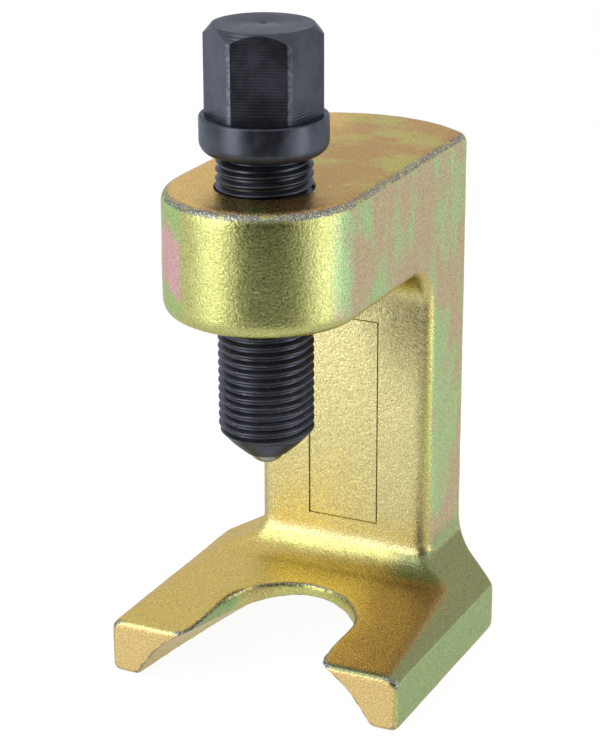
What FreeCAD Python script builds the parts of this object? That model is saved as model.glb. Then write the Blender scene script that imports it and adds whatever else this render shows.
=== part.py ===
import FreeCAD, Part

import math
import os

from FreeCAD import Placement, Rotation, Vector

# Ball joint separator: a forged C-shaped frame with a fork at its foot, a forcing screw
# in its upper boss, and a steel ball caged in the screw's point.
# Millimetres. +Z is the screw's axis, pointing up to the hexagon. The origin lies on that
# axis in the plane that the fork's two lands rest on. -Y is the open side of the fork.

# Forcing screw: metric fine thread, hexagon and thrust collar in one turned piece
thread_diameter = 16.0
thread_pitch = 1.5
thread_depth = 0.82
thread_allowance = 0.03
thread_crest_width = 0.19
thread_clearance = 0.08
thread_angle = 60.0
hex_across_flats = 17.0
hex_height = 14.5
hex_blank_diameter = 19.2
hex_chamfer_angle = 50.0
hex_chamfer_circle = 16.5
hex_turn = 21.3
hex_centre_mark = 2.0
collar_diameter = 21.0
collar_height = 6.3
collar_top_chamfer = 0.3
collar_under_radius = 2.2
relief_length = 0.6
relief_depth = 0.9
thread_length = 47.05
point_angle = 45.0
screw_lift = 5.6

# Pressure ball in the screw's point
ball_diameter = 7.0
ball_clearance = 0.05
ball_stand_out = 2.1
cage_lip = 0.45

# Frame: boss, arm and column share one width
frame_height = 90.0
arm_width = 33.6
arm_depth = 21.0
axis_to_column = 30.6
column_depth = 21.8
back_radius = 25.5
window_top_radius = 7.0
bore_chamfer = 0.5

# Frame: forked foot
base_width = 54.5
base_height = 11.7
fork_tip_height = 10.3
tip_to_axis = 7.1
fork_opening = 24.8
throat_beyond_axis = 18.2
shoulder_height = 13.8
shoulder_angle = 22.0
shoulder_radius = 5.0
channel_radius = 25.5
channel_axis_drop = 12.2
channel_tilt = 11.0

# Frame: plain recessed panel on the column's inner face
panel_width = 13.6
panel_bottom = 19.5
panel_top = 58.1
panel_depth = 0.5

# Frame: rounded edges of the forging
top_edge_radius = 2.0
window_edge_radius = 2.5
outer_edge_radius = 1.8
land_edge_radius = 1.5
tip_edge_radius = 1.0

half_arm = arm_width / 2
half_base = base_width / 2
half_fork = fork_opening / 2
thread_radius = thread_diameter / 2
thread_crest_radius = thread_radius - thread_allowance
thread_root_radius = thread_crest_radius - thread_depth
relief_radius = thread_radius - relief_depth
arm_underside = frame_height - arm_depth
column_back = axis_to_column + column_depth
collar_bottom = frame_height + screw_lift
collar_top = collar_bottom + collar_height
screw_top = collar_top + hex_height
point_top = collar_bottom - thread_length
far = 4 * frame_height


def rounded_outline(corners):
    """Closed flat wire in XY through (x, y, radius) corners, with tangent arcs at them."""
    edges = []
    count = len(corners)
    points = [Vector(x, y, 0) for x, y, radius in corners]
    ends = []
    for i, (x, y, radius) in enumerate(corners):
        before = (points[i - 1] - points[i]).normalize()
        after = (points[(i + 1) % count] - points[i]).normalize()
        if radius == 0:
            ends.append((points[i], points[i], None))
            continue
        half_angle = before.getAngle(after) / 2
        reach = radius / math.tan(half_angle)
        middle_way = (before + after).normalize()
        middle = points[i] + middle_way * (radius / math.sin(half_angle) - radius)
        ends.append((points[i] + before * reach, points[i] + after * reach, middle))
    for i, (start, end, middle) in enumerate(ends):
        if middle:
            edges.append(Part.Arc(start, middle, end).toShape())
        edges.append(Part.LineSegment(end, ends[(i + 1) % count][0]).toShape())
    return Part.Wire(edges)


def revolve(corners):
    """Solid of revolution about Z from (radius, z, rounding) corners."""
    wire = rounded_outline(corners)
    wire.rotate(Vector(0, 0, 0), Vector(1, 0, 0), 90)
    return Part.Face(wire).revolve(Vector(0, 0, 0), Vector(0, 0, 1), 360)


def prism_along_x(corners, half_width):
    """Prism about X = 0 from (y, z, rounding) corners."""
    face = Part.Face(rounded_outline(corners))
    face.Placement = Placement(Vector(-half_width, 0, 0), Rotation(Vector(1, 1, 1), 120))
    return face.extrude(Vector(2 * half_width, 0, 0))


def prism_along_y(corners, y_from, y_to):
    """Prism from (x, z, rounding) corners."""
    wire = rounded_outline(corners)
    wire.rotate(Vector(0, 0, 0), Vector(1, 0, 0), 90)
    wire.translate(Vector(0, y_from, 0))
    return Part.Face(wire).extrude(Vector(0, y_to - y_from, 0))


def box(x_from, x_to, y_from, y_to, z_from, z_to):
    return Part.makeBox(x_to - x_from, y_to - y_from, z_to - z_from,
                        Vector(x_from, y_from, z_from))


def thread_body(z_low, z_high, clearance):
    """Core and helical ridge. Every thread made here is in step with the screw's own."""
    flank = math.tan(math.radians(thread_angle / 2))
    side_clearance = clearance / math.cos(math.radians(thread_angle / 2))
    core_radius = thread_root_radius + clearance
    crest_radius = thread_crest_radius + clearance
    root = core_radius - 0.1
    half_crest = thread_crest_width / 2 + side_clearance - clearance * flank
    half_root = half_crest + (crest_radius - root) * flank
    first_turn = math.floor((z_low - point_top) / thread_pitch)
    turns = math.ceil((z_high - z_low) / thread_pitch) + 1
    z_start = point_top + first_turn * thread_pitch
    profile = Part.makePolygon([
        Vector(root, 0, z_start - half_root),
        Vector(crest_radius, 0, z_start - half_crest),
        Vector(crest_radius, 0, z_start + half_crest),
        Vector(root, 0, z_start + half_root),
        Vector(root, 0, z_start - half_root)])
    helix = Part.makeHelix(thread_pitch, turns * thread_pitch, thread_radius)
    helix.translate(Vector(0, 0, z_start))
    ridge = Part.Wire(helix.Edges).makePipeShell([profile], True, True)
    core = Part.makeCylinder(core_radius, (turns + 2) * thread_pitch,
                             Vector(0, 0, z_start - thread_pitch))
    return core.fuse(ridge)


def make_pressure_ball():
    ball_radius = ball_diameter / 2
    return Part.makeSphere(ball_radius, Vector(0, 0, ball_centre()))


def ball_centre():
    """The ball stands out of the cage's mouth by ball_stand_out."""
    return cage_mouth() - ball_stand_out + ball_diameter / 2


def cage_mouth():
    mouth_radius = cage_mouth_radius() + cage_lip
    return point_top - (thread_radius - mouth_radius) / math.tan(math.radians(point_angle))


def cage_mouth_radius():
    cavity_radius = ball_diameter / 2 + ball_clearance
    above_mouth = ball_diameter / 2 - ball_stand_out
    return math.sqrt(cavity_radius ** 2 - above_mouth ** 2)


def make_forcing_screw():
    relief_bottom = collar_bottom - relief_length
    mouth_radius = cage_mouth_radius() + cage_lip
    shank = revolve([
        (0, cage_mouth(), 0),
        (mouth_radius, cage_mouth(), 0),
        (thread_radius, point_top, 0),
        (thread_radius, relief_bottom - relief_depth, 0),
        (relief_radius, relief_bottom, 0),
        (relief_radius, collar_bottom + 1, 0),
        (0, collar_bottom + 1, 0)])
    shank = shank.common(thread_body(cage_mouth(), collar_bottom, 0))
    collar_radius = collar_diameter / 2
    collar = revolve([
        (0, collar_bottom, 0),
        (collar_radius, collar_bottom, collar_under_radius),
        (collar_radius, collar_top - collar_top_chamfer, 0),
        (collar_radius - collar_top_chamfer, collar_top, 0),
        (0, collar_top, 0)])
    head = Part.Face(rounded_outline([
        (hex_across_flats / math.sqrt(3) * math.cos(math.radians(hex_turn + 60 * i)),
         hex_across_flats / math.sqrt(3) * math.sin(math.radians(hex_turn + 60 * i)), 0)
        for i in range(6)])).extrude(Vector(0, 0, hex_height + 1))
    head.translate(Vector(0, 0, collar_top - 1))
    blank_radius = hex_blank_diameter / 2
    chamfer_circle = hex_chamfer_circle / 2
    chamfer_drop = (blank_radius - chamfer_circle) * math.tan(math.radians(hex_chamfer_angle))
    head = head.common(revolve([
        (0, collar_top - 1, 0),
        (blank_radius, collar_top - 1, 0),
        (blank_radius, screw_top - chamfer_drop, 0),
        (chamfer_circle, screw_top, 0),
        (0, screw_top, 0)]))
    mark = Part.makeCone(0, hex_centre_mark / 2, hex_centre_mark / 2,
                         Vector(0, 0, screw_top - hex_centre_mark / 2))
    cavity = Part.makeSphere(ball_diameter / 2 + ball_clearance, Vector(0, 0, ball_centre()))
    return collar.fuse([head, shank]).cut([mark, cavity])


def back_corner():
    """How far back the column's side meets its convex back."""
    return column_back - back_radius + math.sqrt(back_radius ** 2 - half_arm ** 2)


def make_upper_block():
    """Boss, arm and column as one upright block with a convex back."""
    y_corner = back_corner()
    front = Part.Arc(Vector(-half_arm, 0, 0), Vector(0, -half_arm, 0), Vector(half_arm, 0, 0))
    right = Part.LineSegment(Vector(half_arm, 0, 0), Vector(half_arm, y_corner, 0))
    back = Part.Arc(Vector(half_arm, y_corner, 0), Vector(0, column_back, 0),
                    Vector(-half_arm, y_corner, 0))
    left = Part.LineSegment(Vector(-half_arm, y_corner, 0), Vector(-half_arm, 0, 0))
    outline = Part.Wire([part.toShape() for part in (front, right, back, left)])
    return Part.Face(outline).extrude(Vector(0, 0, frame_height))


def make_foot_block():
    """The fork's foot before its top is shaped: its back runs on from the column's."""
    y_corner = back_corner()
    slope = half_arm / (y_corner - column_back + back_radius)
    y_wide = y_corner - slope * (half_base - half_arm)
    right = [Vector(half_base, -tip_to_axis, 0), Vector(half_base, y_wide, 0),
             Vector(half_arm, y_corner, 0)]
    left = [Vector(-p.x, p.y, 0) for p in reversed(right)]
    back = Part.Arc(right[-1], Vector(0, column_back, 0), left[0]).toShape()
    edges = Part.makePolygon(right).Edges + [back] + Part.makePolygon(left + right[:1]).Edges
    height = shoulder_height + 2 * shoulder_radius
    return Part.Face(Part.Wire(edges)).extrude(Vector(0, 0, height))


def make_window():
    """The C's opening, above the fork and below the arm, open to the front and both sides."""
    slope = (base_height - fork_tip_height) / (axis_to_column + tip_to_axis)
    foot_corner = math.radians(90) + math.atan(slope)
    foot_radius = (shoulder_blend_top() - base_height) * math.tan(foot_corner / 2)
    return prism_along_x([
        (-far, base_height - slope * (far + axis_to_column), 0),
        (axis_to_column, base_height, foot_radius),
        (axis_to_column, arm_underside, window_top_radius),
        (-far, arm_underside, 0)], far)


def shoulder_blend_top():
    """Height at which the blends at the column's foot end, at its sides and its front."""
    corner = math.radians(90 + shoulder_angle)
    return shoulder_height + shoulder_radius / math.tan(corner / 2)


def make_shoulder_cut(side):
    """What is cleared beside the column, down to the foot's sloping shoulder."""
    drop = math.tan(math.radians(shoulder_angle)) * (far - half_arm)
    corners = [
        (side * half_arm, far, 0),
        (side * half_arm, shoulder_height, shoulder_radius),
        (side * far, shoulder_height - drop, 0),
        (side * far, far, 0)]
    return prism_along_y(corners, -far, far)


def make_fork_slot():
    """The U-shaped slot, open at the tips and round about its own centre at the throat."""
    centre = throat_beyond_axis - half_fork
    throat = Part.makeCylinder(half_fork, 2 * shoulder_height, Vector(0, centre, -shoulder_height))
    mouth = box(-half_fork, half_fork, -far, centre, -shoulder_height, shoulder_height)
    return throat.fuse(mouth)


def make_channel():
    """The round channel under the fork. Its axis drops away from the tips to the back."""
    start = Vector(0, -tip_to_axis, -channel_axis_drop)
    along = Vector(0, math.cos(math.radians(channel_tilt)), -math.sin(math.radians(channel_tilt)))
    return Part.makeCylinder(channel_radius, 2 * far, start - along * far, along)


def make_bore_cut():
    """The tapped bore for the screw, chamfered at both ends."""
    mouth = thread_radius + thread_clearance + bore_chamfer
    bore = thread_body(arm_underside - thread_pitch, frame_height + thread_pitch, thread_clearance)
    upper = Part.makeCone(0, mouth, mouth, Vector(0, 0, frame_height - mouth))
    lower = Part.makeCone(mouth, 0, mouth, Vector(0, 0, arm_underside))
    return bore, upper, lower


def near(a, b):
    return abs(a - b) < 1e-3


def fillet(shape, radius, wanted):
    """Round each edge for which wanted(box of the edge, middle of the edge) is true."""
    edges = []
    for edge in shape.Edges:
        middle = edge.valueAt((edge.FirstParameter + edge.LastParameter) / 2)
        if wanted(edge.BoundBox, middle):
            edges.append(edge)
    return shape.makeFillet(radius, edges)


def is_upright(edge_box):
    return near(edge_box.XMin, edge_box.XMax) and near(edge_box.YMin, edge_box.YMax)


def is_level(edge_box):
    return edge_box.ZLength < 1e-3


def round_forging(body):
    """The forging's rounded edges: the window's rim, the outside, the tips, top and lands."""
    y_corner = back_corner()

    def on_window_rim(b, m):
        return near(b.ZMin, arm_underside) and is_level(b) and near(abs(m.x), half_arm)

    def on_outside(b, m):
        column = is_upright(b) and near(abs(m.x), half_arm) and near(m.y, y_corner)
        foot = is_upright(b) and near(abs(m.x), half_base) and m.y > 0
        foot_side = is_level(b) and near(abs(m.x), half_base) and b.ZMin > 0
        return (column and b.ZMin > shoulder_height) or foot or foot_side

    def on_tip(b, m):
        return is_upright(b) and near(abs(m.x), half_base) and m.y < 0

    def on_top(b, m):
        return near(b.ZMin, frame_height)

    def on_underside(b, m):
        return near(b.ZMax, 0)

    body = fillet(body, window_edge_radius, on_window_rim)
    body = fillet(body, outer_edge_radius, on_outside)
    body = fillet(body, tip_edge_radius, on_tip)
    body = fillet(body, top_edge_radius, on_top)
    return fillet(body, land_edge_radius, on_underside)


def make_forged_frame():
    body = make_upper_block().fuse(make_foot_block())
    front = box(-far, far, -far, -tip_to_axis, -far, arm_underside)
    body = body.cut([make_window(), make_shoulder_cut(-1), make_shoulder_cut(1), front])
    body = round_forging(body.removeSplitter())
    panel = box(-panel_width / 2, panel_width / 2, axis_to_column - panel_depth,
                axis_to_column + panel_depth, panel_bottom, panel_top)
    return body.cut([make_fork_slot(), make_channel(), panel, *make_bore_cut()])


if __name__ == "__main__":
    os.makedirs("parts", exist_ok=True)
    for node, make in (("forged_frame", make_forged_frame),
                       ("forcing_screw", make_forcing_screw),
                       ("pressure_ball", make_pressure_ball)):
        shape = make()
        solid = shape.Solids[0]
        print(node, len(shape.Solids), "solid, valid", solid.isValid(), round(solid.Volume), "mm3")
        solid.exportStep("parts/" + node + ".step")
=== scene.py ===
import math

import bpy
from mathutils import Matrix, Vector


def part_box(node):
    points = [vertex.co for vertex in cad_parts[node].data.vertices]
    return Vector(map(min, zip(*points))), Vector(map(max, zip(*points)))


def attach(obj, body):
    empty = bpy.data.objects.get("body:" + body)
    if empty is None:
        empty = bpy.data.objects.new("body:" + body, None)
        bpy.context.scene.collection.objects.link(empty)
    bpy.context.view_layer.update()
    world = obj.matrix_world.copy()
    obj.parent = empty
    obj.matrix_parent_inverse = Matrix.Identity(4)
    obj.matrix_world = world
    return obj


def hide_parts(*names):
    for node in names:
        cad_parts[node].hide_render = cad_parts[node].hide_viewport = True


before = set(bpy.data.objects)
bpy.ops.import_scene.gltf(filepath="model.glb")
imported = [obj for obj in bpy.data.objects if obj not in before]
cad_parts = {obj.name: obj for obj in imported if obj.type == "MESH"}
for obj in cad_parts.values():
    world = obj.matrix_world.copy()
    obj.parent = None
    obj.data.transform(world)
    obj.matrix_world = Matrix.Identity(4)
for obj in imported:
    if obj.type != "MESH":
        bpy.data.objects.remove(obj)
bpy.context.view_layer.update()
frameLow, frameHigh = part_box("forged_frame")
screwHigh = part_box("forcing_screw")[1]
ballLow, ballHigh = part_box("pressure_ball")
mm = 0.001
print("frame loaded")


def deselectAll():
    if bpy.context.object and bpy.context.object.mode != "OBJECT":
        bpy.ops.object.mode_set(mode="OBJECT")
    bpy.ops.object.select_all(action="DESELECT")


def pick(obj):
    deselectAll()
    obj.select_set(True)
    bpy.context.view_layer.objects.active = obj


def applyModifier(obj, kind, **settings):
    mod = obj.modifiers.new(kind.title(), kind)
    for key, value in settings.items():
        setattr(mod, key, value)
    pick(obj)
    bpy.ops.object.modifier_apply(modifier=mod.name)


def bakePlace(obj):
    pick(obj)
    bpy.ops.object.transform_apply(location=True, rotation=True, scale=True)


def joinInto(obj, others):
    deselectAll()
    for other in others:
        other.select_set(True)
    obj.select_set(True)
    bpy.context.view_layer.objects.active = obj
    bpy.ops.object.join()


def carve(obj, cutter, operation="DIFFERENCE"):
    applyModifier(obj, "BOOLEAN", object=cutter, operation=operation, solver="EXACT")
    bpy.data.objects.remove(cutter, do_unlink=True)


def addCylinder(radius, low, high, sides=96):
    deselectAll()
    bpy.ops.mesh.primitive_cylinder_add(vertices=sides, radius=radius, depth=high - low,
                                        location=(0, 0, (low + high) / 2))
    bakePlace(bpy.context.object)
    return bpy.context.object


def addBlock(low, high):
    low, high = Vector(low), Vector(high)
    deselectAll()
    bpy.ops.mesh.primitive_cube_add(size=1, location=(low + high) / 2)
    bpy.context.object.scale = high - low
    bakePlace(bpy.context.object)
    return bpy.context.object


def addOutline(name, points, closed):
    mesh = bpy.data.meshes.new(name)
    pairs = [(i, i + 1) for i in range(len(points) - 1)]
    if closed:
        pairs.append((len(points) - 1, 0))
    mesh.from_pydata([(radius, 0, height) for radius, height in points], pairs, [])
    obj = bpy.data.objects.new(name, mesh)
    bpy.context.scene.collection.objects.link(obj)
    return obj


def closeMesh(obj, mergeWithin=0.001 * mm):
    pick(obj)
    bpy.ops.object.mode_set(mode="EDIT")
    bpy.ops.mesh.select_all(action="SELECT")
    bpy.ops.mesh.remove_doubles(threshold=mergeWithin)
    bpy.ops.mesh.fill_holes(sides=0)
    bpy.ops.mesh.normals_make_consistent(inside=False)
    bpy.ops.object.mode_set(mode="OBJECT")


def turned(name, points, steps=96):  # spins a (radius, height) outline about the screw's axis
    obj = addOutline(name, points, closed=False)
    pick(obj)
    bpy.ops.object.mode_set(mode="EDIT")
    bpy.ops.mesh.select_all(action="SELECT")
    bpy.ops.mesh.spin(steps=steps, angle=2 * math.pi, center=(0, 0, 0), axis=(0, 0, 1))
    bpy.ops.object.mode_set(mode="OBJECT")
    closeMesh(obj)
    return obj


def arcPoints(centre, radius, start, end, steps=6):
    turns = [math.radians(start + (end - start) * i / steps) for i in range(steps + 1)]
    return [(centre[0] + radius * math.cos(t), centre[1] + radius * math.sin(t)) for t in turns]


forging = {
    "voxel": 0.5 * mm,
    "smoothTurns": 6,
    "smoothShadedBelow": 35,
    "mergeWithin": 0.002 * mm,
    "waves": [(8 * mm, 0.14 * mm), (1.6 * mm, 0.03 * mm)],  # size and height of the skin's waves
    "armDepth": 21 * mm,
    "axisToColumn": 30.6 * mm,
    "boreRadius": 8.08 * mm,
    "boreChamfer": 0.3 * mm,
    "cutterOver": 1 * mm,
    "panelWidth": 13.6 * mm,
    "panelBottom": 19.5 * mm,
    "panelTop": 58.1 * mm,
    "panelDepth": 0.5 * mm,
    "panelGroove": 0.3 * mm,
    "panelSink": 0.1 * mm,  # the panel's floor lies this far below the column's face
    "panelOver": 2 * mm,
}


def copyOfNode(name, pieceName):
    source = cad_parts[name]
    body = source.copy()
    body.data = source.data.copy()
    body.parent = None
    for key in list(body.keys()):
        del body[key]
    bpy.context.scene.collection.objects.link(body)
    body.name = body.data.name = pieceName
    closeMesh(body, forging["mergeWithin"])
    return body


def boreCutter(low, high):
    f = forging
    mouth = f["boreRadius"] + f["boreChamfer"]
    over = forging["cutterOver"]
    return turned("boreCutter", [
        (0, low - over), (mouth + over, low - over), (f["boreRadius"], low + f["boreChamfer"]),
        (f["boreRadius"], high - f["boreChamfer"]), (mouth + over, high + over), (0, high + over)])


def fitToBox(obj, low, high):  # takes back what smoothing and waves did to the outer size
    bpy.context.view_layer.update()
    corners = [Vector(corner) for corner in obj.bound_box]
    nowLow, nowHigh = corners[0], corners[6]
    obj.scale = [(high[i] - low[i]) / (nowHigh[i] - nowLow[i]) for i in range(3)]
    obj.location = [low[i] - nowLow[i] * obj.scale[i] for i in range(3)]
    bakePlace(obj)


def buildForging():
    f = forging
    body = copyOfNode("forged_frame", "forgedBody")
    top = frameHigh.z
    underside = top - f["armDepth"]
    spare = f["voxel"]
    borePlug = addCylinder(f["boreRadius"] + f["boreChamfer"] + spare, underside, top)
    halfPanel = f["panelWidth"] / 2
    panelPlug = addBlock((-halfPanel - spare, f["axisToColumn"], f["panelBottom"] - spare),
                         (halfPanel + spare, f["axisToColumn"] + 3 * f["panelDepth"],
                          f["panelTop"] + spare))
    joinInto(body, [borePlug, panelPlug])
    applyModifier(body, "REMESH", mode="VOXEL", voxel_size=f["voxel"], adaptivity=0)
    applyModifier(body, "SMOOTH", factor=0.5, iterations=f["smoothTurns"])
    for size, height in f["waves"]:
        wave = bpy.data.textures.new("forgingWaves", "CLOUDS")
        wave.noise_scale = size
        wave.noise_depth = 1
        applyModifier(body, "DISPLACE", texture=wave, texture_coords="LOCAL",
                      strength=height, mid_level=0.5)
    fitToBox(body, frameLow, frameHigh)
    carve(body, boreCutter(underside, top))
    carve(body, addBlock((-halfPanel, f["axisToColumn"] - f["panelOver"], f["panelBottom"]),
                         (halfPanel, f["axisToColumn"] + f["panelDepth"], f["panelTop"])))
    inset = f["panelGroove"]
    carve(body, addBlock((inset - halfPanel, f["axisToColumn"] + f["panelSink"],
                          f["panelBottom"] + inset),
                         (halfPanel - inset, f["axisToColumn"] + f["panelOver"],
                          f["panelTop"] - inset)),
          "UNION")
    pick(body)
    bpy.ops.object.shade_smooth_by_angle(angle=math.radians(f["smoothShadedBelow"]))
    return body


forgedBody = buildForging()
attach(forgedBody, "frame")
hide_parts("forged_frame")
print("forging shaped", len(forgedBody.data.polygons), "faces")


screw = {
    "pitch": 1.5 * mm,
    "crestRadius": 7.97 * mm,
    "rootRadius": 7.15 * mm,
    "crestRounding": 0.2 * mm,
    "flankAngle": 30,
    "ridgeSunk": 0.15 * mm,
    "stepsPerTurn": 64,
    "sides": 128,
    "acrossFlats": 17 * mm,
    "hexTurn": 21.3,
    "blankRadius": 9.6 * mm,
    "topCircle": 8.25 * mm,
    "hexChamfer": 1.61 * mm,
    "toolMarkPitch": 0.5 * mm,
    "toolMarkDepth": 0.035 * mm,
    "collarRadius": 10.5 * mm,
    "collarHeight": 6.3 * mm,
    "collarTopRounding": 0.45 * mm,
    "collarUnderRounding": 2.2 * mm,
    "collarLift": 5.6 * mm,
    "reliefRadius": 7.1 * mm,
    "reliefLength": 0.6 * mm,
    "pointRadius": 8.0 * mm,
    "pointBelowCollar": 47.05 * mm,
    "pointBulge": 0.12 * mm,
    "mouthRadius": 3.71 * mm,
    "mouthBelowPoint": 4.29 * mm,
    "cageClearance": 0.05 * mm,
    "overlap": 1 * mm,
    "centreMarkRadius": 0.9 * mm,
    "centreMarkDepth": 0.3 * mm,
    "centreMarkOver": 0.06 * mm,
    "smoothShadedBelow": 24,
}
collarBottom = frameHigh.z + screw["collarLift"]
collarTop = collarBottom + screw["collarHeight"]
pointTop = collarBottom - screw["pointBelowCollar"]


def threadRidge(low, high):  # crest passes +X at pointTop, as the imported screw's does
    s = screw
    flank = math.tan(math.radians(s["flankAngle"]))
    rounding = s["crestRounding"]
    inner = s["rootRadius"] - s["ridgeSunk"]
    bend = 90 - s["flankAngle"]
    crestPoints = arcPoints((s["crestRadius"] - rounding, 0), rounding, -bend, bend)
    edgeRadius, edgeHeight = crestPoints[-1]
    halfRoot = edgeHeight + (edgeRadius - inner) * flank
    start = pointTop + math.floor((low - pointTop) / s["pitch"]) * s["pitch"]
    outline = [(inner, -halfRoot)] + crestPoints + [(inner, halfRoot)]
    ridge = addOutline("ridge", [(r, z + start) for r, z in outline], closed=True)
    turns = math.ceil((high - start) / s["pitch"])
    applyModifier(ridge, "SCREW", angle=2 * math.pi, screw_offset=s["pitch"], iterations=turns,
                  steps=s["stepsPerTurn"], render_steps=s["stepsPerTurn"], axis="Z")
    closeMesh(ridge)
    return ridge


def buildShank():
    s = screw
    mouth = pointTop - s["mouthBelowPoint"]
    reliefBottom = collarBottom - s["reliefLength"]
    buried = collarBottom + s["overlap"]
    runOut = s["pointRadius"] - s["reliefRadius"]
    shank = addCylinder(s["rootRadius"], mouth - s["pitch"], buried + s["pitch"], s["sides"])
    carve(shank, threadRidge(mouth - s["pitch"], buried), "UNION")
    middle = ((s["pointRadius"] + s["mouthRadius"]) / 2 + s["pointBulge"],
              (pointTop + mouth) / 2 - s["pointBulge"])
    envelope = turned("envelope", [
        (0, mouth), (s["mouthRadius"], mouth), middle, (s["pointRadius"], pointTop),
        (s["pointRadius"], reliefBottom - runOut), (s["reliefRadius"], reliefBottom),
        (s["reliefRadius"], buried), (0, buried)], s["sides"])
    carve(shank, envelope, "INTERSECT")
    return shank


def buildCollar():
    s = screw
    under, over = s["collarUnderRounding"], s["collarTopRounding"]
    outline = [(0, collarBottom)]
    outline += arcPoints((s["collarRadius"] - under, collarBottom + under), under, -90, 0, 12)
    outline += arcPoints((s["collarRadius"] - over, collarTop - over), over, 0, 90, 8)
    outline.append((0, collarTop))
    return turned("collar", outline, s["sides"])


def startSelecting(kind):
    bpy.ops.object.mode_set(mode="EDIT")
    bpy.ops.mesh.select_mode(type=kind)
    bpy.ops.mesh.select_all(action="DESELECT")
    bpy.ops.object.mode_set(mode="OBJECT")


def markFlats(head, low, high):  # rings up the head, every second one a valley of the tool marks
    s = screw
    startSelecting("EDGE")
    verts = head.data.vertices
    for edge in head.data.edges:
        ends = [verts[i].co.z for i in edge.vertices]
        edge.select = abs(ends[0] - ends[1]) > s["overlap"]
    bpy.ops.object.mode_set(mode="EDIT")
    cuts = 2 * round((high - low) / s["toolMarkPitch"]) - 1
    bpy.ops.mesh.subdivide(number_cuts=cuts)
    startSelecting("VERT")
    step = (high - low) / (cuts + 1)
    for vert in head.data.vertices:
        ring = round((vert.co.z - low) / step)
        vert.select = ring % 2 == 1
    bpy.ops.object.mode_set(mode="EDIT")
    pinch = 1 - s["toolMarkDepth"] / (s["acrossFlats"] / 2)
    bpy.ops.transform.resize(value=(pinch, pinch, 1), center_override=(0, 0, 0))
    bpy.ops.object.mode_set(mode="OBJECT")


def buildHead():
    s = screw
    low, high = collarTop - s["overlap"], screwHigh.z + s["overlap"]
    halfFlat = 30
    head = addCylinder(s["acrossFlats"] / math.sqrt(3), low, high, 6)
    head.rotation_euler.z = math.radians(s["hexTurn"] - halfFlat)
    bakePlace(head)
    markFlats(head, low, high)
    top, blank = screwHigh.z, s["blankRadius"]
    bottom = low + s["overlap"] / 10
    carve(head, turned("blank", [
        (0, bottom), (blank, bottom), (blank, top - s["hexChamfer"]),
        (s["topCircle"], top), (0, top)], 192), "INTERSECT")
    over = top + s["centreMarkOver"]
    carve(head, turned("centreMark", [(0, top - s["centreMarkDepth"]),
                                      (s["centreMarkRadius"], over), (0, over)], 32))
    return head


def buildScrew():
    body = buildShank()
    body.name = body.data.name = "forcingScrewBody"
    carve(body, buildCollar(), "UNION")
    carve(body, buildHead(), "UNION")
    centre = (ballLow.z + ballHigh.z) / 2
    cage = (ballHigh.z - ballLow.z) / 2 + screw["cageClearance"]
    deselectAll()
    bpy.ops.mesh.primitive_uv_sphere_add(segments=96, ring_count=48, radius=cage,
                                         location=(0, 0, centre))
    bakePlace(bpy.context.object)
    carve(body, bpy.context.object)
    pick(body)
    bpy.ops.object.shade_smooth_by_angle(angle=math.radians(screw["smoothShadedBelow"]))
    return body


screwBody = buildScrew()
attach(screwBody, "screw")
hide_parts("forcing_screw")
print("screw shaped", len(screwBody.data.polygons), "faces")


def newMaterial(name):
    material = bpy.data.materials.new(name)
    material.use_nodes = True
    tree = material.node_tree
    return material, tree, tree.nodes["Principled BSDF"]


def addNode(tree, kind, inputs=None, **settings):
    node = tree.nodes.new(kind)
    for key, value in settings.items():
        setattr(node, key, value)
    for key, value in (inputs or {}).items():
        if isinstance(value, bpy.types.NodeSocket):
            tree.links.new(value, node.inputs[key])
        else:
            node.inputs[key].default_value = value
    return node


def calc(tree, operation, a, b=0.0):
    return addNode(tree, "ShaderNodeMath", {0: a, 1: b}, operation=operation).outputs[0]


def noise(tree, place, scale, detail=2.0, rough=0.5):
    return addNode(tree, "ShaderNodeTexNoise", {"Vector": place, "Scale": scale, "Detail": detail,
                                                "Roughness": rough}).outputs["Fac"]


def ramp(tree, value, low, high, toLow=0.0, toHigh=1.0):  # smooth step of value
    return addNode(tree, "ShaderNodeMapRange",
                   {"Value": value, "From Min": low, "From Max": high,
                    "To Min": toLow, "To Max": toHigh},
                   interpolation_type="SMOOTHSTEP").outputs["Result"]


def blend(tree, mask, under, over, mode="MIX"):
    node = addNode(tree, "ShaderNodeMix", {"Factor": mask}, data_type="RGBA", blend_type=mode)
    for socket, colour in ((node.inputs[6], under), (node.inputs[7], over)):
        if isinstance(colour, bpy.types.NodeSocket):
            tree.links.new(colour, socket)
        else:
            socket.default_value = (*colour, 1)
    return node.outputs[2]


def grey(tree, value):
    return addNode(tree, "ShaderNodeCombineColor", {0: value, 1: value, 2: value}).outputs[0]


def minus(tree, value):
    return calc(tree, "MULTIPLY", value, -1.0)


def band(tree, value, low, high, fade):  # one between low and high
    return calc(tree, "MULTIPLY", ramp(tree, value, low - fade, low + fade),
                ramp(tree, value, high + fade, high - fade))


def allOf(tree, mask, *others):
    for other in others:
        mask = calc(tree, "MULTIPLY", mask, other)
    return mask


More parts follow.
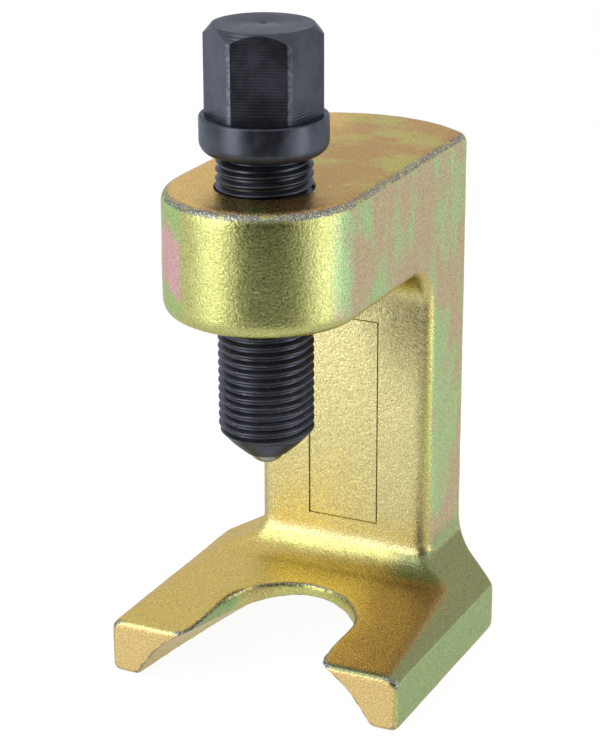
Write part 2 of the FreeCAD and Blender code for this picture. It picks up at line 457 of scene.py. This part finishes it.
chromateLook = {
    # colours
    "gold": (0.50, 0.42, 0.17),
    "lemon": (0.50, 0.50, 0.17),
    "brown": (0.44, 0.28, 0.11),
    "topOlive": (0.45, 0.42, 0.13),
    "topGold": (0.68, 0.47, 0.17),
    "footGold": (0.58, 0.45, 0.14),
    "innerGold": (0.58, 0.52, 0.25),
    "bossLemon": (0.45, 0.46, 0.17),
    "endGold": (0.68, 0.50, 0.21),
    "shoulderOlive": (0.22, 0.24, 0.11),
    # brown coating, darkened as painted shade, on the fork's right-hand top
    "shadedForkBrown": (0.36, 0.24, 0.10),
    "sideGreen": (0.38, 0.54, 0.27),
    "sideRose": (0.48, 0.40, 0.26),
    "moss": (0.36, 0.54, 0.22),
    "rose": (0.66, 0.40, 0.45),
    "footGreen": (0.28, 0.41, 0.19),
    "wornDark": (0.13, 0.135, 0.14),
    # pale bare steel, made paler still for a painted highlight on the boss's rim
    "paleWearAndRimHighlight": (0.58, 0.59, 0.56),
    "edgeTint": (0.82, 0.72, 0.60),
    # finish
    "metallic": 0.95,
    "roughness": (0.22, 0.36),
    "wear": 0.85,
    "grainTone": (0.25, 0.75, 0.68, 1.32),
    "pitSpan": (0.3, 0.7),
    "grainShare": 0.6,
    "bumpStrength": 0.8,
    "bumpDepth": 0.09 * mm,
    # noises: scale, detail and roughness
    "patchNoise": (75, 3, 0.55),
    "mottleNoise": (140, 3, 0.6),
    "streakNoise": (150, 3, 0.55),
    "rubbedNoise": (500, 3, 0.65),
    "pitNoise": (2300, 3, 0.6),
    "grainNoise": (3800, 2, 0.6),
    "patchShift": 14 * mm,
    "streakStretch": (1.0, 1.0, 0.45),
    # how much of a noise each patch takes, from none to full
    "lemonPatches": (0.4, 0.62),
    "olivePatches": (0.48, 0.6),
    "rosePatches": (0.4, 0.56),
    "rubbedPatches": (0.3, 0.5),
    "paleGrain": (0.5, 0.66),
    # how far the skin has to face a way, from none to full
    "facesUp": (0.6, 0.9),
    "facesForward": (0.88, 0.97),
    "facesSideways": (0.86, 0.98),
    "facesLeft": (0.36, 0.56),
    "notFrontFace": (-0.97, -0.9),
    "shoulderSlope": (0.4, 0.96, 0.04),
    "rimSlope": (0.4, 0.9, 0.08),
    "sharpEdge": (0.522, 0.54),
    # places on the forging, from none to full
    "armHeight": (30 * mm, 50 * mm),
    "topGoldAcross": (0, -10 * mm),
    "shadedForkAcross": (2 * mm, 18 * mm),
    "bossDepth": (12 * mm, 4 * mm),
    "bossHeight": (55 * mm, 65 * mm),
    "columnDepth": (20 * mm, 24 * mm),
    "endsDepth": (2 * mm, -2 * mm),
    "endsHeight": (16 * mm, 13 * mm),
    "shoulderAcross": (8 * mm, 14 * mm),
    "shoulderHeight": (45 * mm, 35 * mm),
    "footHeight": (20 * mm, 15 * mm),
    "stainDepth": (10 * mm, 0.0),
    "stainHeight": (60 * mm, 68 * mm),
    "roseBand": (75.5 * mm, 84 * mm, 1.5 * mm),
    "rimBelowTop": (3 * mm, 2 * mm),
}


def topColour(tree, at, patches, shift):  # the arm's top is the upper one, the fork's the lower
    look = chromateLook
    across = calc(tree, "ADD", at["X"], shift)
    upper = blend(tree, ramp(tree, patches, *look["olivePatches"]), look["brown"], look["topOlive"])
    upper = blend(tree, ramp(tree, across, *look["topGoldAcross"]), upper, look["topGold"])
    # towards the right the fork's top turns to the darker brown: coating hue and painted shade
    lower = blend(tree, ramp(tree, across, *look["shadedForkAcross"]),
                  look["footGold"], look["shadedForkBrown"])
    return blend(tree, ramp(tree, at["Z"], *look["armHeight"]), lower, upper)


def frontColour(tree, at, facing, colour):  # the column's inner face and the fork's two ends
    look = chromateLook
    forward = ramp(tree, minus(tree, facing["Y"]), *look["facesForward"])
    column = allOf(tree, forward, ramp(tree, at["Y"], *look["columnDepth"]))
    colour = blend(tree, column, colour, look["innerGold"])
    ends = allOf(tree, forward, ramp(tree, at["Z"], *look["endsHeight"]),
                 ramp(tree, at["Y"], *look["endsDepth"]))
    return blend(tree, ends, colour, look["endGold"])


def sideColour(tree, place, at, facing, colour):
    look = chromateLook
    sideways = ramp(tree, calc(tree, "ABSOLUTE", facing["X"]), *look["facesSideways"])
    tall = addNode(tree, "ShaderNodeVectorMath", {0: place, 1: look["streakStretch"]},
                   operation="MULTIPLY").outputs["Vector"]
    streaks = noise(tree, tall, *look["streakNoise"])
    side = blend(tree, ramp(tree, streaks, *look["rosePatches"]),
                 look["sideGreen"], look["sideRose"])
    colour = blend(tree, sideways, colour, side)
    low = allOf(tree, sideways, ramp(tree, at["Z"], *look["footHeight"]))
    return blend(tree, low, colour, look["footGreen"])


def bossStain(tree, at, facing, shift, colour):  # a rose stain in a mossy one, on the boss's left
    look = chromateLook
    height = calc(tree, "ADD", at["Z"], shift)
    stain = blend(tree, band(tree, height, *look["roseBand"]), look["moss"], look["rose"])
    left = allOf(tree, ramp(tree, minus(tree, facing["X"]), *look["facesLeft"]),
                 ramp(tree, at["Y"], *look["stainDepth"]),
                 ramp(tree, at["Z"], *look["stainHeight"]))
    return blend(tree, left, colour, stain)


def chromateColour(tree, place, at, facing, grain):
    look = chromateLook
    patches = noise(tree, place, *look["patchNoise"])
    mottle = noise(tree, place, *look["mottleNoise"])
    shift = calc(tree, "MULTIPLY", calc(tree, "SUBTRACT", mottle, 0.5), look["patchShift"])
    colour = blend(tree, ramp(tree, patches, *look["lemonPatches"]), look["gold"], look["lemon"])
    boss = allOf(tree, ramp(tree, at["Y"], *look["bossDepth"]),
                 ramp(tree, at["Z"], *look["bossHeight"]))
    colour = blend(tree, boss, colour, look["bossLemon"])
    colour = frontColour(tree, at, facing, colour)
    level = ramp(tree, facing["Z"], *look["facesUp"])
    colour = blend(tree, level, colour, topColour(tree, at, patches, shift))
    shoulder = allOf(tree, band(tree, facing["Z"], *look["shoulderSlope"]),
                     ramp(tree, at["X"], *look["shoulderAcross"]),
                     ramp(tree, at["Z"], *look["shoulderHeight"]))
    colour = blend(tree, shoulder, colour, look["shoulderOlive"])
    colour = sideColour(tree, place, at, facing, colour)
    colour = bossStain(tree, at, facing, shift, colour)
    tone = grey(tree, ramp(tree, grain, *look["grainTone"]))
    return blend(tree, 1.0, colour, tone, "MULTIPLY")


def wornEdgesAndRimHighlight(tree, place, at, facing, grain, colour):  # bare grey steel on the rim and edges, on the boss's rim also a painted highlight
    look = chromateLook
    rubbed = noise(tree, place, *look["rubbedNoise"])
    bulge = addNode(tree, "ShaderNodeNewGeometry").outputs["Pointiness"]
    rimHeights = [frameHigh.z - below for below in look["rimBelowTop"]]
    # the rim band is worn steel, widened and made pale as a painted highlight
    rimWearAndHighlight = allOf(tree, band(tree, facing["Z"], *look["rimSlope"]),
                ramp(tree, at["Z"], *rimHeights))
    edge = calc(tree, "MAXIMUM", rimWearAndHighlight, ramp(tree, bulge, *look["sharpEdge"]))
    edge = allOf(tree, edge, ramp(tree, rubbed, *look["rubbedPatches"]),
                 ramp(tree, facing["Y"], *look["notFrontFace"]))
    worn = blend(tree, ramp(tree, grain, *look["paleGrain"]), look["wornDark"], look["paleWearAndRimHighlight"])
    return blend(tree, calc(tree, "MULTIPLY", edge, look["wear"]), colour, worn)


def makeChromate():
    look = chromateLook
    material, tree, shader = newMaterial("yellowChromate")
    coords = addNode(tree, "ShaderNodeTexCoord")
    place = coords.outputs["Object"]
    at = addNode(tree, "ShaderNodeSeparateXYZ", {0: place}).outputs
    facing = addNode(tree, "ShaderNodeSeparateXYZ", {0: coords.outputs["Normal"]}).outputs
    grain = noise(tree, place, *look["grainNoise"])
    pits = noise(tree, place, *look["pitNoise"])
    colour = chromateColour(tree, place, at, facing, grain)
    colour = wornEdgesAndRimHighlight(tree, place, at, facing, grain, colour)
    tree.links.new(colour, shader.inputs["Base Color"])
    shader.inputs["Specular Tint"].default_value = (*look["edgeTint"], 1)
    shader.inputs["Metallic"].default_value = look["metallic"]
    rough = ramp(tree, pits, *look["pitSpan"], *look["roughness"])
    tree.links.new(rough, shader.inputs["Roughness"])
    height = calc(tree, "ADD", calc(tree, "MULTIPLY", grain, look["grainShare"]), pits)
    bump = addNode(tree, "ShaderNodeBump", {"Strength": look["bumpStrength"],
                                            "Distance": look["bumpDepth"], "Height": height})
    tree.links.new(bump.outputs["Normal"], shader.inputs["Normal"])
    return material


oxideLook = {
    "oxide": (0.064, 0.070, 0.088),
    "edgeTint": (0.58, 0.6, 0.66),
    "worn": (0.30, 0.31, 0.33),
    "dust": (0.22, 0.19, 0.16),
    "metallic": 0.85,
    "roughness": (0.28, 0.42),
    "speckleNoise": (1500, 2, 0.6),
    "cloudNoise": (220, 3, 0.6),
    "cloudSpan": (0.3, 0.7),
    "cloudTone": (0.8, 1.2),
    # painted highlight: the oxide is lightened on faces turned to the left
    "paintedLeftHighlight": (0.3, 0.8, 1.0, 1.7),
    "corner": (9.45 * mm, 9.6 * mm),  # distances from the screw's axis
    "flat": (9.5 * mm, 9.4 * mm),
    "flatBelowTop": 0.3 * mm,
    "headFade": 1 * mm,
    "cornerSpeckle": (0.4, 0.65),
    "cornerWear": 0.22,
    "dustBelowTop": (20 * mm, 22 * mm),
    "dustSpeckle": (0.6, 0.68),
    "dustShare": 0.5,
    "markShare": 0.6,
    "speckleShare": 0.5,
    "bumpStrength": 0.5,
    "bumpDepth": 0.05 * mm,
}


def oxideColour(tree, at, facing, fromAxis, onHead, speckle, cloud):
    look = oxideLook
    toneAndLeftHighlight = ramp(tree, cloud, *look["cloudSpan"], *look["cloudTone"])
    # painted highlight: faces turned to the left are lightened up to 1.7 times
    toneAndLeftHighlight = calc(tree, "MULTIPLY", toneAndLeftHighlight, ramp(tree, minus(tree, facing["X"]), *look["paintedLeftHighlight"]))
    colour = blend(tree, 1.0, look["oxide"], grey(tree, toneAndLeftHighlight), "MULTIPLY")
    rub = allOf(tree, onHead, ramp(tree, fromAxis, *look["corner"]),
                ramp(tree, speckle, *look["cornerSpeckle"]))
    colour = blend(tree, calc(tree, "MULTIPLY", rub, look["cornerWear"]), colour, look["worn"])
    dustHeights = [frameHigh.z - below for below in look["dustBelowTop"]]
    onThread = allOf(tree, ramp(tree, at["Z"], *dustHeights),
                     ramp(tree, speckle, *look["dustSpeckle"]))
    return blend(tree, calc(tree, "MULTIPLY", onThread, look["dustShare"]), colour, look["dust"])


def makeBlackOxide():
    look = oxideLook
    material, tree, shader = newMaterial("blackOxide")
    coords = addNode(tree, "ShaderNodeTexCoord")
    place = coords.outputs["Object"]
    at = addNode(tree, "ShaderNodeSeparateXYZ", {0: place}).outputs
    facing = addNode(tree, "ShaderNodeSeparateXYZ", {0: coords.outputs["Normal"]}).outputs
    speckle = noise(tree, place, *look["speckleNoise"])
    cloud = noise(tree, place, *look["cloudNoise"])
    fromAxis = calc(tree, "SQRT", calc(tree, "ADD", calc(tree, "MULTIPLY", at["X"], at["X"]),
                                       calc(tree, "MULTIPLY", at["Y"], at["Y"])))
    onHead = ramp(tree, at["Z"], collarTop, collarTop + look["headFade"])
    colour = oxideColour(tree, at, facing, fromAxis, onHead, speckle, cloud)
    tree.links.new(colour, shader.inputs["Base Color"])
    shader.inputs["Metallic"].default_value = look["metallic"]
    shader.inputs["Specular Tint"].default_value = (*look["edgeTint"], 1)
    rough = ramp(tree, cloud, *look["cloudSpan"], *look["roughness"])
    tree.links.new(rough, shader.inputs["Roughness"])
    turn = 2 * math.pi / screw["toolMarkPitch"]
    marks = calc(tree, "SINE", calc(tree, "MULTIPLY", at["Z"], turn))
    onFlat = allOf(tree, onHead, ramp(tree, fromAxis, *look["flat"]),
                   ramp(tree, at["Z"], screwHigh.z, screwHigh.z - look["flatBelowTop"]))
    marks = calc(tree, "MULTIPLY", marks, calc(tree, "MULTIPLY", onFlat, look["markShare"]))
    height = calc(tree, "ADD", marks, calc(tree, "MULTIPLY", speckle, look["speckleShare"]))
    bump = addNode(tree, "ShaderNodeBump", {"Strength": look["bumpStrength"],
                                            "Distance": look["bumpDepth"], "Height": height})
    tree.links.new(bump.outputs["Normal"], shader.inputs["Normal"])
    return material


ballLook = {
    "pale": (0.30, 0.29, 0.25),
    "dark": (0.20, 0.20, 0.19),
    "metallic": 0.95,
    "roughness": (0.2, 0.38),
    "hazeNoise": (600, 3, 0.6),
    "hazePatches": (0.35, 0.65),
    "scuffNoise": (2500, 2, 0.6),
    "scuffSpan": (0.3, 0.7),
}


def makeBallSteel():
    look = ballLook
    material, tree, shader = newMaterial("ballSteel")
    place = addNode(tree, "ShaderNodeTexCoord").outputs["Object"]
    haze = noise(tree, place, *look["hazeNoise"])
    scuff = noise(tree, place, *look["scuffNoise"])
    colour = blend(tree, ramp(tree, haze, *look["hazePatches"]), look["pale"], look["dark"])
    tree.links.new(colour, shader.inputs["Base Color"])
    shader.inputs["Metallic"].default_value = look["metallic"]
    rough = ramp(tree, scuff, *look["scuffSpan"], *look["roughness"])
    tree.links.new(rough, shader.inputs["Roughness"])
    return material


def dress(obj, material):
    obj.data.materials.clear()
    obj.data.materials.append(material)


dress(forgedBody, makeChromate())
dress(screwBody, makeBlackOxide())
dress(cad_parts["pressure_ball"], makeBallSteel())
print("materials made")


studio = {
    "azimuth": 25.64,
    "elevation": 20.363,
    "roll": -0.206,
    "distance": 397.922 * mm,
    "aimSide": 5.581 * mm,
    "aimHeight": 57.536 * mm,
    "lens": 115.62,
    "clipStart": 0.01,
    "floorRadius": 0.16,
    "floorDrop": 0.1 * mm,
    "floorTone": 0.9,
    "floorOwnWhite": 0.9,
    "floorGlow": 1.04,
    "room": 0.95,  # strength of the light that comes from all round
    "cardAzimuth": 29,
    "cardElevation": -12,
    "cardDistance": 0.5,
    "cardWidth": 0.8,
    "cardHeight": 1.1,
    "cardTone": 0.06,
    # softboxes: azimuth, elevation, distance, width, height and level
    "leftBox": (-32, 16, 0.9, 0.46, 1.3, 2.8),
    "rightBox": (97, 0, 0.9, 0.3, 1.0, 2.6),
}


def direction(azimuth, elevation):
    a, e = math.radians(azimuth), math.radians(elevation)
    return Vector((math.sin(a) * math.cos(e), -math.cos(a) * math.cos(e), math.sin(e)))


def buildCamera():
    s = studio
    data = bpy.data.cameras.new("camera")
    camera = bpy.data.objects.new("camera", data)
    bpy.context.scene.collection.objects.link(camera)
    data.lens = s["lens"]
    data.clip_start = s["clipStart"]
    back = direction(s["azimuth"], s["elevation"])
    right = Vector((-back.y, back.x, 0)).normalized()
    aim = right * s["aimSide"] + Vector((0, 0, s["aimHeight"]))
    camera.location = aim + back * s["distance"]
    camera.rotation_euler = (-back).to_track_quat("-Z", "Y").to_euler()
    camera.rotation_euler.rotate_axis("Z", math.radians(s["roll"]))
    bpy.context.scene.camera = camera
    return aim


def addSoftbox(name, aim, azimuth, elevation, distance, width, height, level):
    data = bpy.data.lights.new(name, "AREA")
    data.shape = "RECTANGLE"
    data.size = width
    data.size_y = height
    data.energy = level * math.pi * width * height  # level is its brightness in a mirror
    lamp = bpy.data.objects.new(name, data)
    bpy.context.scene.collection.objects.link(lamp)
    way = direction(azimuth, elevation)
    lamp.location = aim + way * distance
    lamp.rotation_euler = way.to_track_quat("Z", "Y").to_euler()


def seenDirectly(tree):  # camera, mirror and glass rays see the plain background
    rays = addNode(tree, "ShaderNodeLightPath").outputs
    mirrored = calc(tree, "MAXIMUM", rays["Is Glossy Ray"], rays["Is Transmission Ray"])
    return calc(tree, "MAXIMUM", rays["Is Camera Ray"], mirrored)


def buildWorld():
    world = bpy.data.worlds.new("surround")
    bpy.context.scene.world = world
    world.use_nodes = True
    tree = world.node_tree
    background = tree.nodes["Background"]
    strength = blend(tree, seenDirectly(tree), (studio["room"],) * 3, (1, 1, 1))
    tree.links.new(strength, background.inputs["Strength"])
    background.inputs["Color"].default_value = (1, 1, 1, 1)


def mattePaint(name, tone):
    material, tree, shader = newMaterial(name)
    shader.inputs["Base Color"].default_value = (tone, tone, tone, 1)
    shader.inputs["Roughness"].default_value = 1
    return material, tree, shader


def buildFloor():
    s = studio
    deselectAll()
    bpy.ops.mesh.primitive_circle_add(vertices=96, radius=s["floorRadius"], fill_type="NGON",
                                      location=(0, 0, frameLow.z - s["floorDrop"]))
    floor = bpy.context.object
    floor.name = "studioFloor"
    material, tree, shader = mattePaint("paleFloor", s["floorTone"])
    glow = addNode(tree, "ShaderNodeEmission", {"Color": (1, 1, 1, 1), "Strength": s["floorGlow"]})
    share = calc(tree, "MULTIPLY", seenDirectly(tree), s["floorOwnWhite"])
    mix = addNode(tree, "ShaderNodeMixShader", {0: share, 1: shader.outputs[0], 2: glow.outputs[0]})
    output = next(n for n in tree.nodes if n.type == "OUTPUT_MATERIAL")
    tree.links.new(mix.outputs[0], output.inputs["Surface"])
    floor.data.materials.append(material)


def buildCard(aim):  # dark card, unseen by the camera, that gives bright metal its dark band
    s = studio
    way = direction(s["cardAzimuth"], s["cardElevation"])
    deselectAll()
    bpy.ops.mesh.primitive_plane_add(size=1, location=aim + way * s["cardDistance"],
                                     rotation=way.to_track_quat("Z", "Y").to_euler())
    card = bpy.context.object
    card.name = "darkCard"
    card.scale = (s["cardWidth"], s["cardHeight"], 1)
    bakePlace(card)
    material, tree, shader = mattePaint("darkCloth", s["cardTone"])
    shader.inputs["Specular IOR Level"].default_value = 0
    card.data.materials.append(material)
    card.visible_camera = False
    card.visible_transmission = False


aim = buildCamera()
buildWorld()
buildFloor()
buildCard(aim)
for boxName in ("leftBox", "rightBox"):
    addSoftbox(boxName, aim, *studio[boxName])
bpy.context.scene.view_settings.view_transform = "Standard"
print("studio ready")
